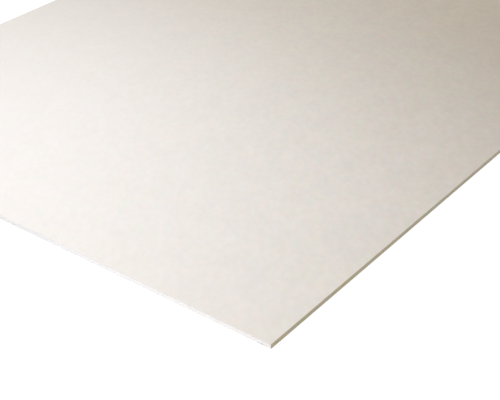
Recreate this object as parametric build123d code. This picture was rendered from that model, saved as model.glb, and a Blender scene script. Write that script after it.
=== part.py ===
from build123d import *

import os

# A drywall sheet: flat gypsum board faced with paper, lying on its back with the face up.
#
# The sheet is one piece of stock. It is formed endlessly as one section, with the face paper folded
# round both long edges and turned under the back, and is then cut to length, so the model is that
# section swept along the length. Millimetres: X runs along the length, Y across the width and Z up
# from the back to the face. The origin is the centre of the back.

# Driving dimensions of the sheet
SHEET_LENGTH = 2000.0  # between the two cut ends
SHEET_WIDTH = 1250.0  # between the two paper-wrapped long edges
SHEET_THICKNESS = 9.5  # from the back paper to the face paper

# The paper-wrapped long edge: square, with the paper's own folds for arrises
FACE_FOLD_RADIUS = 0.6  # where the paper turns from the face down the edge
BACK_FOLD_RADIUS = 0.7  # where it turns from the edge under the back
LAP_WIDTH = 14.0  # strip of turned-under face paper that the back paper leaves bare
BACK_PAPER_THICKNESS = 0.3  # the step from that strip down to the back paper

PARTS_FOLDER = "parts"


def bare_lap(side):
    """The shallow rebate under one long edge (side -1 or 1), where the back paper stops short of it."""
    outer_end = Align.MAX if side > 0 else Align.MIN
    rebate = Rectangle(LAP_WIDTH, BACK_PAPER_THICKNESS, align=(outer_end, Align.MIN))
    return Pos(side * SHEET_WIDTH / 2, 0) * rebate


def sheet_section():
    """The section across the width: the back lies on the first axis, with the thickness above it."""
    section = Rectangle(SHEET_WIDTH, SHEET_THICKNESS, align=(Align.CENTER, Align.MIN))
    section -= [bare_lap(-1), bare_lap(1)]
    lap_corners = section.vertices().group_by(Axis.Y)[1]
    back_folds = lap_corners.group_by(lambda corner: abs(corner.X))[-1]
    section = fillet(back_folds, BACK_FOLD_RADIUS)
    face_folds = section.vertices().group_by(Axis.Y)[-1]
    return fillet(face_folds, FACE_FOLD_RADIUS)


def drywall_sheet():
    """The section swept from one square-cut end to the other."""
    return extrude(Plane.YZ * sheet_section(), SHEET_LENGTH / 2, both=True)


os.makedirs(PARTS_FOLDER, exist_ok=True)
export_step(drywall_sheet(), os.path.join(PARTS_FOLDER, "drywall_sheet.step"))
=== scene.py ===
import math

import bmesh
import bpy
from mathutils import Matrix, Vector, noise


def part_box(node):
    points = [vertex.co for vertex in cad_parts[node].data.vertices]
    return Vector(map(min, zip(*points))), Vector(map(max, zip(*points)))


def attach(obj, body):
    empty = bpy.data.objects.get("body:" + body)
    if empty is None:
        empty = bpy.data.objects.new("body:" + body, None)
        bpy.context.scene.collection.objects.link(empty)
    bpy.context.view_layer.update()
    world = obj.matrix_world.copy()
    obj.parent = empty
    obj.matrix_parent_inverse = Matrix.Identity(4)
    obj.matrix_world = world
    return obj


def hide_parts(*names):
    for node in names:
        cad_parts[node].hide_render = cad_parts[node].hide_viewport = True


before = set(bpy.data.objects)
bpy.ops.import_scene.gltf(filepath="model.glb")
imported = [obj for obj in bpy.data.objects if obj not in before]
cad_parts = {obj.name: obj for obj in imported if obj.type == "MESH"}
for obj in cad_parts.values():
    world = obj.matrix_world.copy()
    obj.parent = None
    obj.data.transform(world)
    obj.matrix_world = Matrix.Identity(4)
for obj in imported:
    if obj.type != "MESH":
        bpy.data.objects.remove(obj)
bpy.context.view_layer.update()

# The sheet's sizes in metres: the outside comes from the frame, the small ones repeat the solid's own
SHEET = "drywall_sheet"
lowest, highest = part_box(SHEET)
LENGTH, WIDTH, THICKNESS = highest - lowest
FACE_FOLD = 0.0006
BACK_FOLD = 0.0007
LAP = 0.014
PAPER = 0.0003
FOLD_STEPS = 5

# How finely the sheet, and the bare core at its cut ends, is divided
GRID_STEP = 0.025
SHORTEST_LEVEL_EDGE = 0.008
CORE_STEP = 0.0006

# Relief of the bare core at a cut end
CORE_RECESS = 0.0001
CORE_ROUGHNESS = 0.00012
GRAIN_SIZE = 0.0035
GRAIN_FALL, GRAIN_GROWTH, GRAIN_LAYERS = 0.8, 2.0, 4
PORE_SPACING = 0.006
PORE_REACH = 0.0011
PORE_DEPTH = 0.0005

# The small chips broken out of the near end: the distance of each one's middle from the near corner, half
# its length, the height of its middle, and half its height
BROKEN = "broken"
CHIPS = (
    (0.0118, 0.0028, 0.0013, 0.0011),
    (0.0178, 0.0026, 0.0013, 0.0012),
    (0.0244, 0.0028, 0.0011, 0.0011),
)
CHIP_DEPTH = 0.0016
CHIP_RAGGEDNESS = 0.9
CHIP_GRAIN = 0.0032
CHIP_ROUGHNESS = 0.0008

# The lip of face paper that the cut dragged down over the core: it hangs unevenly, less and less along the
# end, and lowest right at the near corner
PAPERED = "papered"
LIP_HANG = 0.0016
LIP_LENGTH = 1.1
LIP_UNEVENNESS = 0.0005
LIP_WAVE = 0.012
LIP_FRAY = 0.0025
CORNER_HANG = 0.003
CORNER_HANG_LENGTH = 0.007
LIP_SWING = (0.02, 0.02, 0.02)

# The map that the sheet's finish is laid out on: rows of a square from the bottom up, in pixels
MAP_NAME = "OFBake"
MAP_SIZE = 1024
MAP_MARGIN = 5
MAP_ROWS = {
    "face": 552,
    "back": 300,
    "near_edge": 32,
    "far_edge": 32,
    "near_end": 36,
    "far_end": 36,
}

# The papers' mottle and tinges, whose grains lie slanting on the sheet: a grain's length, width and depth,
# its detail, and how far it swings the paper's red, green and blue
MOTTLE_TURN = math.radians(37)
MOTTLE = (
    ((0.019, 0.0125, 0.0125), 2.0, (0.021, 0.021, 0.021)),
    ((0.056, 0.038, 0.038), 3.0, (0.014, 0.014, 0.014)),
)
TINGES = (
    ((0.024, 0.012, 0.012), 2.0, (0.012, -0.0045, -0.0195)),
    ((0.027, 0.015, 0.015), 2.0, (-0.013, 0.011, -0.011)),
    ((0.110, 0.085, 0.085), 3.0, (0.006, 0.000, -0.010)),
)
# The mottle is faint at the far left of the near end, and grows across the sheet from there
FAINT_MOTTLE = 0.1
FAINT_FROM = (-1.0, 0.55, 0.0)
FAINT_TURN = math.radians(-53)
FAINT_LENGTH = 1.2

# Fibres of the papers, coarse and fine ones that cross: a fibre's length, width and depth, its turn, how far
# it swings the paper's tone, and its relief
COARSE_FIBRE = (0.0075, 0.0012, 0.0012)
FINE_FIBRE = (0.0024, 0.0003, 0.0003)
FIBRES = (
    (COARSE_FIBRE, math.radians(16), 0.009, 0.000014),
    (COARSE_FIBRE, math.radians(-23), 0.009, 0.000014),
    (FINE_FIBRE, math.radians(47), 0.018, 0.000006),
    (FINE_FIBRE, math.radians(-66), 0.018, 0.000006),
)
FIBRE_DETAIL = 2.0
FLECK_TURN = math.radians(20)
FLECK_HEART = 0.6
PAPER_SHINE = (0.84, 0.96)
SHEEN = 0.12

# The face paper is a little yellowed beside its folds
FOLD_TINGE = (1.005, 0.995, 0.95, 1.0)
FOLD_TINGE_WIDTH = 0.0035

# How high the painted light at a cut end's foot reaches; it lifts the floor's contact shade
PAINTED_FOOT_LIGHT_HEIGHT = 0.003

# The bare core's grain and pinholes; the pinholes' grey is painted shade inside them
CORE_GRAIN = 0.0022
CORE_GRAIN_DETAIL = 4.0
CORE_GRAIN_RELIEF = 0.0001
PINHOLE_SPACING = 0.0015
PINHOLE_SHARE = 0.34
PINHOLE_HEART = 0.2
PINHOLE_RELIEF = 0.0003
CORE_SHINE = (0.9, 1.0)

# The part of a noise's range that nearly all of it keeps to
NOISE_LOW, NOISE_HIGH = 0.3, 0.7

# The camera stands before the near corner: to its side, back from it and above the floor, in metres
LENS = 85.0
FILM_WIDTH = 36.0
CAMERA_YAW = math.radians(52.70)
CAMERA_PITCH = math.radians(32.15)
CAMERA_SIDE = -0.0325
CAMERA_BACK = 1.4279
CAMERA_HEIGHT = 1.1712

# The stage and its light: the floor is grey enough to take a shadow, and its glow brings it just past white
FLOOR_RADIUS = 30.0
FLOOR_SIDES = 64
FLOOR_DROP = 0.00005
FLOOR_GREY = 0.8
FLOOR_WHITE = 1.06
FILL_LIGHT = (0.433, 0.385, 0.297)
WHITE = (1.0, 1.0, 1.0, 1.0)
LAMPS = {
    "key_softbox": {
        "place": (-0.64, 0.066, 1.97),
        "target": (-3.02, 1.606, 0.0),
        "size": 1.0,
        "power": 43.0,
        "tint": (1.0, 1.095, 1.283),
    },
    "end_softbox": {
        "place": (-1.96, -0.455, 0.16),
        "target": (-1.0, -0.455, 0.0),
        "size": 0.3,
        "power": 4.15,
        "tint": (1.0, 1.0, 1.06),
    },
    "edge_softbox": {
        "place": (0.1, -1.5, 0.2),
        "target": (-0.3, -0.625, 0.0),
        "size": 0.5,
        "power": 1.1,
        "tint": (0.85, 0.95, 1.7),
    },
    "far_softbox": {
        "place": (1.2, -0.05, 1.3),
        "target": (1.2, -0.05, 0.0),
        "size": 0.7,
        "power": 1.3,
        "tint": (1.0, 1.01, 1.05),
        "beam": math.radians(80),
    },
}

# Places closer than the first count as one, and a face is level or upright if its normal has a part over
# the second
TINY = 1e-6
FLAT = 0.999

# The numbers by which the faces carry their materials
FACE, EDGE, CORE, PLY, BACK = range(5)

# A screen's brightest level, and how its levels bend
SCREEN_WHITE = 255
SCREEN_GAMMA = 2.2


def colour(red, green, blue):
    """A colour written as it looks on screen, as the linear value that a shader takes."""
    return tuple((level / SCREEN_WHITE) ** SCREEN_GAMMA for level in (red, green, blue)) + (1.0,)


def section_corners():
    """The corners of the sheet's section, from the near edge's lap up, across the face and back under."""
    edge, lap = WIDTH / 2, WIDTH / 2 - LAP
    near_side = [(-lap, 0), (-lap, PAPER), (-edge, PAPER), (-edge, THICKNESS)]
    far_side = [(-y, z) for y, z in reversed(near_side)]
    return near_side + far_side


def swept_sheet():
    """The sheet's section with its folds, swept from one cut end to the other."""
    bm = bmesh.new()
    bm.verts.layers.float.new(BROKEN)
    bm.verts.layers.float.new(PAPERED)
    corners = [bm.verts.new((-LENGTH / 2, y, z)) for y, z in section_corners()]
    bm.faces.new(corners)
    for height, radius in ((THICKNESS, FACE_FOLD), (PAPER, BACK_FOLD)):
        folds = [v for v in bm.verts if abs(v.co.z - height) < TINY and abs(v.co.y) > WIDTH / 2 - TINY]
        bmesh.ops.bevel(
            bm,
            geom=folds,
            offset=radius,
            offset_type="OFFSET",
            affect="VERTICES",
            segments=FOLD_STEPS,
            profile=0.5,
            material=-1,
        )
    swept = bmesh.ops.extrude_face_region(bm, geom=bm.faces[:], use_keep_orig=True)
    moved = [part for part in swept["geom"] if isinstance(part, bmesh.types.BMVert)]
    bmesh.ops.translate(bm, vec=(LENGTH, 0, 0), verts=moved)
    bmesh.ops.recalc_face_normals(bm, faces=bm.faces[:])
    return bm


def cut(bm, faces, point, normal):
    """Cuts these faces, and the edges round them, along a plane."""
    edges = {edge for face in faces for edge in face.edges}
    verts = {vert for face in faces for vert in face.verts}
    bmesh.ops.bisect_plane(bm, geom=[*verts, *edges, *faces], dist=TINY, plane_co=point, plane_no=normal)


def even_steps(length):
    """Places between the ends of a length, centred on it and about one grid step apart."""
    count = round(length / GRID_STEP)
    return [length * (step / count - 0.5) for step in range(1, count)]


def divide(bm):
    """Divides the sheet into an even grid along and across, and along the inner ends of its laps."""
    for x in even_steps(LENGTH):
        cut(bm, bm.faces[:], (x, 0, 0), (1, 0, 0))
    lap_end = WIDTH / 2 - LAP
    for y in (*even_steps(WIDTH), -lap_end, lap_end):
        cut(bm, bm.faces[:], (0, y, 0), (0, 1, 0))


def bare_end(bm, side):
    """The faces of one cut end (side -1 or 1) inside the cut edge of its paper."""
    return [face for face in bm.faces if face.normal.x * side > FLAT and face.material_index != PLY]


def grain(place):
    """Rough noise of several layers, from about -1 to 1, at a place counted in grains."""
    return noise.fractal(place, GRAIN_FALL, GRAIN_GROWTH, GRAIN_LAYERS)


def pore(place):
    """How deep a pore of the core goes at a place: 0 between pores, 1 at the middle of one."""
    nearest = noise.voronoi(place / PORE_SPACING)[0][0] * PORE_SPACING
    return max(0.0, 1.0 - nearest / PORE_REACH)


def chip(place):
    """How far the core is chipped away at a place on the near end: 0 for not at all, 1 for the most."""
    from_corner = place.y + WIDTH / 2
    ragged = CHIP_RAGGEDNESS * grain(place / CHIP_GRAIN)
    deepest = 0.0
    for middle, half_length, height, half_height in CHIPS:
        along = (from_corner - middle) / half_length
        up = (place.z - height) / half_height
        deepest = max(deepest, 1.0 - along * along - up * up + ragged)
    return min(1.0, deepest)


def lip(place):
    """How far the dragged face paper covers a place on a cut end: 0 for bare core, 1 for paper."""
    from_corner = place.y + WIDTH / 2
    hang = LIP_UNEVENNESS * noise.noise(place / LIP_WAVE)
    for lowest_hang, reach in ((LIP_HANG, LIP_LENGTH), (CORNER_HANG, CORNER_HANG_LENGTH)):
        hang += lowest_hang * max(0.0, 1.0 - from_corner / reach)
    return min(1.0, max(0.0, 0.5 + (place.z - THICKNESS + hang) / LIP_FRAY))


def core_depth(place, broken):
    """How far the bare core lies behind the cut at a place that is broken by this share."""
    rough = abs(grain(place / GRAIN_SIZE)) * (CORE_ROUGHNESS + broken * CHIP_ROUGHNESS)
    return CORE_RECESS + rough + pore(place) * PORE_DEPTH + broken * CHIP_DEPTH


def dress_cut_end(bm, side):
    """Gives one cut end its rough, pitted core and its paper's cut edge, with painted light at the foot."""
    rim = bmesh.ops.inset_region(
        bm,
        faces=bare_end(bm, side),
        thickness=PAPER,
        use_even_offset=True,
        use_boundary=True,
    )
    for face in rim["faces"]:
        face.material_index = PLY
    core_bottom, core_top = 2 * PAPER, THICKNESS - PAPER
    rows = round((core_top - core_bottom) / CORE_STEP)
    for row in range(rows):
        height = core_bottom + (core_top - core_bottom) * row / rows
        cut(bm, bare_end(bm, side), (0, 0, height), (0, 0, 1))
    level_edges = [
        edge
        for edge in {edge for face in bare_end(bm, side) for edge in face.edges}
        if abs(edge.verts[0].co.z - edge.verts[1].co.z) < TINY and edge.calc_length() > SHORTEST_LEVEL_EDGE
    ]
    bmesh.ops.subdivide_edges(
        bm,
        edges=level_edges,
        cuts=round(GRID_STEP / CORE_STEP) - 1,
        use_grid_fill=True,
    )
    core = bare_end(bm, side)
    for face in core:
        face.material_index = CORE
        face.smooth = True
    broken, papered = (bm.verts.layers.float[name] for name in (BROKEN, PAPERED))
    for vert in {vert for face in core for vert in face.verts}:
        vert[papered] = lip(vert.co)
        if any(face.material_index != CORE for face in vert.link_faces):
            continue
        if side < 0:
            vert[broken] = chip(vert.co)
        vert.co.x -= side * core_depth(vert.co, vert[broken])
    # At the foot the paper's cut edge takes the core's finish, so the painted light whitens it too
    for face in bm.faces:
        if face.material_index == PLY and face.calc_center_median().z < PAINTED_FOOT_LIGHT_HEIGHT:
            face.material_index = CORE


def name_surfaces(bm):
    """Gives each face outside the cut ends the paper that covers it, and rounds the folds' shading."""
    for face in bm.faces:
        if face.material_index in (PLY, CORE):
            continue
        middle = face.calc_center_median()
        face.smooth = max(abs(part) for part in face.normal) < FLAT
        if middle.z < PAPER - TINY and abs(middle.y) < WIDTH / 2 - LAP + TINY:
            face.material_index = BACK
        elif face.normal.z > abs(face.normal.y):
            face.material_index = FACE
        else:
            face.material_index = EDGE


def map_row(face):
    """The row of the map that a face lies on."""
    middle = face.calc_center_median()
    heights = [vert.co.z for vert in face.verts]
    if face.material_index in (CORE, PLY):
        return "near_end" if middle.x < 0 else "far_end"
    if min(heights) > THICKNESS - TINY:
        return "face"
    if max(heights) < TINY:
        return "back"
    return "near_edge" if middle.y < 0 else "far_edge"


def across_row(row, place):
    """How far across its row of the map a place lies, from 0 to 1. An edge's row ends with its lap."""
    if row in ("near_end", "far_end"):
        return place.z / THICKNESS
    if row in ("face", "back"):
        return place.y / WIDTH + 0.5
    inward = WIDTH / 2 - abs(place.y)
    round_folds = FACE_FOLD - inward if place.z > THICKNESS / 2 else FACE_FOLD + inward
    return (THICKNESS - place.z + round_folds) / (THICKNESS + FACE_FOLD + LAP)


def lay_out_map(bm):
    """Lays every face out flat on the map, with the thin edges and ends drawn larger than the wide faces."""
    bottoms = {}
    bottom = MAP_MARGIN
    for row, height in MAP_ROWS.items():
        bottoms[row] = bottom
        bottom += height + MAP_MARGIN
    layer = bm.loops.layers.uv.new(MAP_NAME)
    for face in bm.faces:
        row = map_row(face)
        for loop in face.loops:
            place = loop.vert.co
            along = place.y / WIDTH if row in ("near_end", "far_end") else place.x / LENGTH
            u = MAP_MARGIN + (along + 0.5) * (MAP_SIZE - 2 * MAP_MARGIN)
            v = bottoms[row] + across_row(row, place) * MAP_ROWS[row]
            loop[layer].uv = (u / MAP_SIZE, v / MAP_SIZE)


def make_sheet(materials):
    """The whole sheet as one mesh piece."""
    bm = swept_sheet()
    divide(bm)
    for side in (-1, 1):
        dress_cut_end(bm, side)
    name_surfaces(bm)
    bmesh.ops.remove_doubles(bm, verts=bm.verts[:], dist=TINY)
    bmesh.ops.recalc_face_normals(bm, faces=bm.faces[:])
    lay_out_map(bm)
    mesh = bpy.data.meshes.new("paper_faced_board")
    bm.to_mesh(mesh)
    bm.free()
    for material in materials:
        mesh.materials.append(material)
    piece = bpy.data.objects.new("paper_faced_board", mesh)
    bpy.context.scene.collection.objects.link(piece)
    return piece


class Finish:
    """A node material for one of the sheet's surfaces, with the few steps that its finishes share."""

    def __init__(self, name):
        self.material = bpy.data.materials.new(name)
        self.material.use_nodes = True
        self.tree = self.material.node_tree
        self.shader = self.tree.nodes["Principled BSDF"]
        self.shader.inputs["Specular IOR Level"].default_value = SHEEN
        self.place = self.tree.nodes.new("ShaderNodeTexCoord").outputs["Object"]
        self.bumps = []

    def link(self, source, target):
        """Feeds one socket into another."""
        self.tree.links.new(source, target)

    def scaled_place(self, lengths, turn=0.0, start=(0.0, 0.0, 0.0)):
        """The piece's own coordinates from a start, turned on the sheet and counted in these lengths."""
        mapping = self.tree.nodes.new("ShaderNodeMapping")
        mapping.vector_type = "TEXTURE"
        mapping.inputs["Location"].default_value = start
        mapping.inputs["Rotation"].default_value = (0.0, 0.0, turn)
        mapping.inputs["Scale"].default_value = lengths
        self.link(self.place, mapping.inputs["Vector"])
        return mapping.outputs["Vector"]

    def grains(self, lengths, detail, turn=0.0):
        """Cloudy noise from 0 to 1 with grains of these lengths in metres."""
        clouds = self.tree.nodes.new("ShaderNodeTexNoise")
        clouds.inputs["Scale"].default_value = 1.0
        clouds.inputs["Detail"].default_value = detail
        self.link(self.scaled_place(lengths, turn), clouds.inputs["Vector"])
        return self.spread(clouds.outputs["Fac"], NOISE_LOW, NOISE_HIGH, 0.0, 1.0)

    def flecks(self, spacing, turn, share, heart):
        """Scattered flecks of many sizes: 1 in a fleck's heart, falling to 0 at its rim. The largest reaches
        over this share of its spacing, and its heart over this part of the fleck."""
        cells = self.tree.nodes.new("ShaderNodeTexVoronoi")
        cells.inputs["Scale"].default_value = 1.0
        self.link(self.scaled_place(spacing, turn), cells.inputs["Vector"])
        sized = self.tree.nodes.new("ShaderNodeMath")
        sized.operation = "DIVIDE"
        self.link(cells.outputs["Distance"], sized.inputs[0])
        self.link(cells.outputs["Color"], sized.inputs[1])
        return self.spread(sized.outputs[0], share, heart * share, 0.0, 1.0)

    def carried(self, name):
        """A value that the mesh itself carries from point to point."""
        attribute = self.tree.nodes.new("ShaderNodeAttribute")
        attribute.attribute_name = name
        return attribute.outputs["Fac"]

    def fade(self, start, turn, length):
        """A value that grows in one direction: 0 at a start on the sheet, and 1 at a length from it."""
        ramp = self.tree.nodes.new("ShaderNodeTexGradient")
        self.link(self.scaled_place((length, length, length), turn, start), ramp.inputs["Vector"])
        return ramp.outputs["Fac"]

    def along(self, axis):
        """One of the piece's own coordinates."""
        parts = self.tree.nodes.new("ShaderNodeSeparateXYZ")
        self.link(self.place, parts.inputs["Vector"])
        return parts.outputs[axis]

    def beside_folds(self):
        """1 beside the long folds, and 0 over the rest of the width."""
        outward = self.tree.nodes.new("ShaderNodeMath")
        outward.operation = "ABSOLUTE"
        self.link(self.along("Y"), outward.inputs[0])
        return self.spread(outward.outputs[0], WIDTH / 2 - FOLD_TINGE_WIDTH, WIDTH / 2, 0.0, 1.0)

    def spread(self, value, start, end, low, high):
        """Maps one range of a value onto another."""
        node = self.tree.nodes.new("ShaderNodeMapRange")
        node.inputs["From Min"].default_value = start
        node.inputs["From Max"].default_value = end
        node.inputs["To Min"].default_value = low
        node.inputs["To Max"].default_value = high
        self.link(value, node.inputs["Value"])
        return node.outputs["Result"]

    def mix(self, share, first, second, way="MIX"):
        """Two colours or colour sockets put together by a share, a number or a socket from 0 to 1."""
        node = self.tree.nodes.new("ShaderNodeMix")
        node.data_type = "RGBA"
        node.blend_type = way
        inputs = {socket.name: socket for socket in node.inputs if socket.enabled}
        for name, value in (("Factor", share), ("A", first), ("B", second)):
            if isinstance(value, bpy.types.NodeSocket):
                self.link(value, inputs[name])
            else:
                inputs[name].default_value = value
        return next(socket for socket in node.outputs if socket.enabled)

    def vary(self, painted, pattern, swing):
        """Lightens a colour by a swing of its three parts where a pattern is 1, and darkens it at 0."""
        least = tuple(1 - part for part in swing) + (1.0,)
        most = tuple(1 + part for part in swing) + (1.0,)
        return self.mix(1.0, painted, self.mix(pattern, least, most), "MULTIPLY")

    def relief(self, height, depth):
        """Fine relief that is too small for the mesh, on top of any that is there already."""
        bump = self.tree.nodes.new("ShaderNodeBump")
        bump.inputs["Distance"].default_value = depth
        self.link(height, bump.inputs["Height"])
        if self.bumps:
            self.link(self.bumps[-1].outputs["Normal"], bump.inputs["Normal"])
        self.bumps.append(bump)
        self.link(bump.outputs["Normal"], self.shader.inputs["Normal"])

    def paint(self, tone):
        """Gives the surface its colour."""
        self.link(tone, self.shader.inputs["Base Color"])

    def shine(self, pattern, least_rough, most_rough):
        """Lets the roughness follow a pattern."""
        self.link(self.spread(pattern, 0.0, 1.0, least_rough, most_rough), self.shader.inputs["Roughness"])


def scaled(swing, strength):
    """A swing of red, green and blue made this many times as strong."""
    return tuple(strength * part for part in swing)


def paper(name, tone, mottle, tinge, fleck_spacing, fleck_share, fleck_tone):
    """Board paper of one tone, mottled and tinged this strongly, with flecks and crossing fibres."""
    finish = Finish(name)
    flecks = finish.flecks(fleck_spacing, FLECK_TURN, fleck_share, FLECK_HEART)
    plain = finish.mix(flecks, tone, fleck_tone)
    mottled = plain
    for clouds, strength in ((MOTTLE, mottle), (TINGES, tinge)):
        for size, detail, swing in clouds:
            pattern = finish.grains(size, detail, MOTTLE_TURN)
            mottled = finish.vary(mottled, pattern, scaled(swing, strength))
    grown = finish.fade(FAINT_FROM, FAINT_TURN, FAINT_LENGTH)
    painted = finish.mix(finish.spread(grown, 0.0, 1.0, FAINT_MOTTLE, 1.0), plain, mottled)
    for fibre, turn, swing, depth in FIBRES:
        fibres = finish.grains(fibre, FIBRE_DETAIL, turn)
        painted = finish.vary(painted, fibres, (mottle * swing,) * 3)
        finish.relief(fibres, depth)
    finish.paint(finish.mix(finish.beside_folds(), painted, FOLD_TINGE, "MULTIPLY"))
    finish.shine(fibres, *PAPER_SHINE)
    return finish.material


def gypsum(name, shade, white, pinhole_shade_tone, painted_foot_light_tone, chip_shade_tone, lip_tone):
    """The bare core: white with a fine grey grain, painted shade in its pinholes and chips, painted light
    at its foot against the floor's contact shade, and a lip of paper dragged over it."""
    finish = Finish(name)
    grains = finish.grains((CORE_GRAIN,) * 3, CORE_GRAIN_DETAIL)
    pinholes = finish.flecks((PINHOLE_SPACING,) * 3, 0.0, PINHOLE_SHARE, PINHOLE_HEART)
    # The pinholes are painted grey: painted shade inside them, on top of their relief
    pitted = finish.mix(pinholes, finish.mix(grains, shade, white), pinhole_shade_tone)
    # Whiter towards the foot: painted light that lifts the floor's contact shade
    foot_lightened = finish.mix(finish.spread(finish.along("Z"), 0.0, PAINTED_FOOT_LIGHT_HEIGHT, 1.0, 0.0), pitted, painted_foot_light_tone)
    # The chips are painted grey: painted shade in their hollows
    chips_shaded = finish.mix(finish.carried(BROKEN), foot_lightened, chip_shade_tone)
    finish.paint(finish.mix(finish.carried(PAPERED), chips_shaded, finish.vary(lip_tone, grains, LIP_SWING)))
    finish.relief(grains, CORE_GRAIN_RELIEF)
    finish.relief(finish.spread(pinholes, 0.0, 1.0, 1.0, 0.0), PINHOLE_RELIEF)
    finish.shine(grains, *CORE_SHINE)
    return finish.material


def sheet_finishes():
    """The materials of the sheet's surfaces, in the order of the numbers that its faces carry."""
    face = paper(
        "ivory_face_paper",
        tone=colour(231, 225, 217),
        mottle=1.2,
        tinge=1.0,
        fleck_spacing=(0.020, 0.009, 0.009),
        fleck_share=0.14,
        fleck_tone=colour(224, 217, 206),
    )
    # The long edges are wrapped in the face paper; its tone here is painted darker and yellower as painted
    # shade
    edge = paper(
        "edge_paper_painted_shade",
        tone=colour(209, 203, 180),
        mottle=2.1,
        tinge=3.8,
        fleck_spacing=(0.020, 0.009, 0.009),
        fleck_share=0.18,
        fleck_tone=colour(204, 195, 165),
    )
    core = gypsum(
        "bare_gypsum_core",
        shade=colour(235, 235, 236),
        white=colour(246, 246, 247),
        # The grey of the painted shade in the pinholes
        pinhole_shade_tone=colour(216, 216, 216),
        # The white of the painted light at the foot
        painted_foot_light_tone=colour(247, 248, 249),
        # The grey of the painted shade in the chips
        chip_shade_tone=colour(212, 211, 211),
        lip_tone=colour(228, 224, 220),
    )
    ply = paper(
        "cut_paper_edge",
        tone=colour(228, 223, 217),
        mottle=1.4,
        tinge=1.0,
        fleck_spacing=(0.006, 0.004, 0.004),
        fleck_share=0.2,
        fleck_tone=colour(214, 207, 193),
    )
    back = paper(
        "grey_back_paper",
        tone=colour(186, 176, 160),
        mottle=2.0,
        tinge=1.5,
        fleck_spacing=(0.011, 0.004, 0.004),
        fleck_share=0.28,
        fleck_tone=colour(152, 141, 125),
    )
    return [face, edge, core, ply, back]


def seen_directly(tree):
    """1 for what the camera sees, straight, mirrored or through glass, and 0 for the light on the sheet."""
    path = tree.nodes.new("ShaderNodeLightPath")
    seen = path.outputs["Is Camera Ray"]
    for ray in ("Is Glossy Ray", "Is Transmission Ray"):
        either = tree.nodes.new("ShaderNodeMath")
        either.operation = "MAXIMUM"
        tree.links.new(seen, either.inputs[0])
        tree.links.new(path.outputs[ray], either.inputs[1])
        seen = either.outputs[0]
    return seen


def make_floor():
    """A floor that keeps the sheet's shadow. It glows by what the fill light lacks to make it white."""
    bm = bmesh.new()
    bmesh.ops.create_circle(bm, cap_ends=True, radius=FLOOR_RADIUS, segments=FLOOR_SIDES)
    bmesh.ops.translate(bm, vec=(0, 0, -FLOOR_DROP), verts=bm.verts[:])
    mesh = bpy.data.meshes.new("floor")
    bm.to_mesh(mesh)
    bm.free()
    floor = bpy.data.objects.new("floor", mesh)
    bpy.context.scene.collection.objects.link(floor)
    material = bpy.data.materials.new("floor_white")
    material.use_nodes = True
    tree = material.node_tree
    shader = tree.nodes["Principled BSDF"]
    shader.inputs["Base Color"].default_value = (FLOOR_GREY, FLOOR_GREY, FLOOR_GREY, 1.0)
    shader.inputs["Roughness"].default_value = 1.0
    shader.inputs["Specular IOR Level"].default_value = 0.0
    glow = tuple(FLOOR_WHITE - FLOOR_GREY * part for part in FILL_LIGHT)
    shader.inputs["Emission Color"].default_value = glow + (1.0,)
    tree.links.new(seen_directly(tree), shader.inputs["Emission Strength"])
    mesh.materials.append(material)


def make_world():
    """An even warm fill, and white where the camera sees past the floor."""
    world = bpy.data.worlds.new("studio")
    bpy.context.scene.world = world
    world.use_nodes = True
    tree = world.node_tree
    fill = tree.nodes["Background"]
    fill.inputs["Color"].default_value = FILL_LIGHT + (1.0,)
    white = tree.nodes.new("ShaderNodeBackground")
    white.inputs["Color"].default_value = WHITE
    either = tree.nodes.new("ShaderNodeMixShader")
    tree.links.new(seen_directly(tree), either.inputs["Fac"])
    tree.links.new(fill.outputs[0], either.inputs[1])
    tree.links.new(white.outputs[0], either.inputs[2])
    tree.links.new(either.outputs[0], tree.nodes["World Output"].inputs["Surface"])


def softbox(name, place, target, size, power, tint, beam=math.pi):
    """A square lamp at a place, turned towards a target, whose light fans out over the angle of its beam."""
    lamp = bpy.data.lights.new(name, "AREA")
    lamp.shape = "SQUARE"
    lamp.size = size
    lamp.energy = power
    lamp.color = tint
    lamp.spread = beam
    holder = bpy.data.objects.new(name, lamp)
    holder.location = place
    holder.rotation_euler = (Vector(target) - Vector(place)).to_track_quat("-Z", "Y").to_euler()
    holder.visible_camera = False
    bpy.context.scene.collection.objects.link(holder)


def make_camera():
    """The camera before the near corner, looking down across the sheet."""
    ahead = Vector((math.sin(CAMERA_YAW), math.cos(CAMERA_YAW), 0))
    right = Vector((math.cos(CAMERA_YAW), -math.sin(CAMERA_YAW), 0))
    up = Vector((0, 0, 1))
    corner = Vector((-LENGTH / 2, -WIDTH / 2, 0))
    data = bpy.data.cameras.new("camera")
    data.sensor_fit = "HORIZONTAL"
    data.sensor_width = FILM_WIDTH
    data.lens = LENS
    camera = bpy.data.objects.new("camera", data)
    camera.location = corner + right * CAMERA_SIDE - ahead * CAMERA_BACK + up * CAMERA_HEIGHT
    sight = ahead * math.cos(CAMERA_PITCH) - up * math.sin(CAMERA_PITCH)
    camera.rotation_euler = sight.to_track_quat("-Z", "Y").to_euler()
    bpy.context.scene.collection.objects.link(camera)
    bpy.context.scene.camera = camera


bpy.context.scene.view_settings.view_transform = "Standard"
sheet = make_sheet(sheet_finishes())
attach(sheet, "root")
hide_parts(SHEET)

make_floor()
make_world()
for lamp_name, lamp in LAMPS.items():
    softbox(lamp_name, **lamp)
make_camera()
